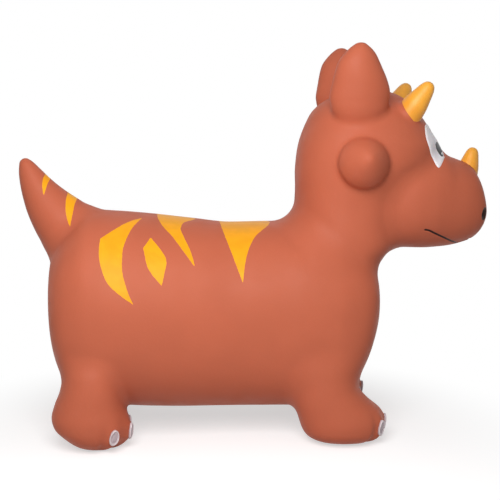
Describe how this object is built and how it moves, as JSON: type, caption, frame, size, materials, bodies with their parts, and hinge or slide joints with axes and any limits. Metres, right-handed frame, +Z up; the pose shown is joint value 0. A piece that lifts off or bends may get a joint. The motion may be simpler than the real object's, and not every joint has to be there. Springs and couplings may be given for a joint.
{
  "type": "bouncy ride on animal",
  "caption": "Inflatable soft PVC hopper shaped as a horned baby dinosaur, ridden astride and held by its ears, with stubby feet that squash as it bounces.",
  "frame": {"origin": "on the floor under the middle of the whole toy, at rest on its four soles", "axes": "+X forward along the animal, +Y to the animal's left, +Z up"},
  "size_m": [0.5532, 0.2216, 0.4565],
  "materials": {
    "skin": "satin soft PVC, orange-brown, with painted yellow stripes",
    "horn": "satin soft PVC painted yellow",
    "claw": "satin soft PVC painted off-white",
    "valve": "thick soft PVC, skin colour",
    "plug": "plain off-white plastic stopper"
  },
  "bodies": {
    "body": {"torso_skin": "skin", "head_skin": "skin", "cheek_knob_left": "skin", "cheek_knob_right": "skin", "brow_horn_left": "horn", "brow_horn_right": "horn", "nose_horn": "horn", "leg_front_left": "skin", "leg_front_right": "skin", "leg_rear_left": "skin", "leg_rear_right": "skin", "valve_seat": "valve"},
    "left_ear": {"ear_left": "skin"},
    "right_ear": {"ear_right": "skin"},
    "tail": {"tail_skin": "skin"},
    "front_left_foot": {"foot_front_left": "skin", "claw_front_left_1": "claw", "claw_front_left_2": "claw", "claw_front_left_3": "claw"},
    "front_right_foot": {"foot_front_right": "skin", "claw_front_right_1": "claw", "claw_front_right_2": "claw", "claw_front_right_3": "claw"},
    "rear_left_foot": {"foot_rear_left": "skin", "claw_rear_left_1": "claw", "claw_rear_left_2": "claw", "claw_rear_left_3": "claw"},
    "rear_right_foot": {"foot_rear_right": "skin", "claw_rear_right_1": "claw", "claw_rear_right_2": "claw", "claw_rear_right_3": "claw"},
    "stopper": {"valve_plug": "plug"}
  },
  "joints": [
    {"name": "ear_left_flex", "type": "hinge", "parent": "body", "child": "left_ear", "pos_m": [0.1115, 0.052, 0.3945], "axis": [0, 1, 0], "range_deg": [-20, 20], "stiffness_Nm_per_rad": 0.6},
    {"name": "ear_right_flex", "type": "hinge", "parent": "body", "child": "right_ear", "pos_m": [0.1115, -0.052, 0.3945], "axis": [0, 1, 0], "range_deg": [-20, 20], "stiffness_Nm_per_rad": 0.6},
    {"name": "tail_flex", "type": "hinge", "parent": "body", "child": "tail", "pos_m": [-0.2175, 0, 0.2375], "axis": [0, 1, 0], "range_deg": [-12, 12], "stiffness_Nm_per_rad": 0.8},
    {"name": "foot_front_left_squash", "type": "slide", "parent": "body", "child": "front_left_foot", "axis": [0, 0, 1], "range_m": [0, 0.016], "stiffness_N_per_m": 2500, "springref_m": -0.0016, "deforming": ["leg_front_left"]},
    {"name": "foot_front_right_squash", "type": "slide", "parent": "body", "child": "front_right_foot", "axis": [0, 0, 1], "range_m": [0, 0.016], "stiffness_N_per_m": 2500, "springref_m": -0.0016, "deforming": ["leg_front_right"]},
    {"name": "foot_rear_left_squash", "type": "slide", "parent": "body", "child": "rear_left_foot", "axis": [0, 0, 1], "range_m": [0, 0.016], "stiffness_N_per_m": 2500, "springref_m": -0.0016, "deforming": ["leg_rear_left"]},
    {"name": "foot_rear_right_squash", "type": "slide", "parent": "body", "child": "rear_right_foot", "axis": [0, 0, 1], "range_m": [0, 0.016], "stiffness_N_per_m": 2500, "springref_m": -0.0016, "deforming": ["leg_rear_right"]},
    {"name": "valve_plug_pull", "type": "slide", "parent": "body", "child": "stopper", "axis": [0, 0, -1], "range_m": [0, 0.024]}
  ]
}
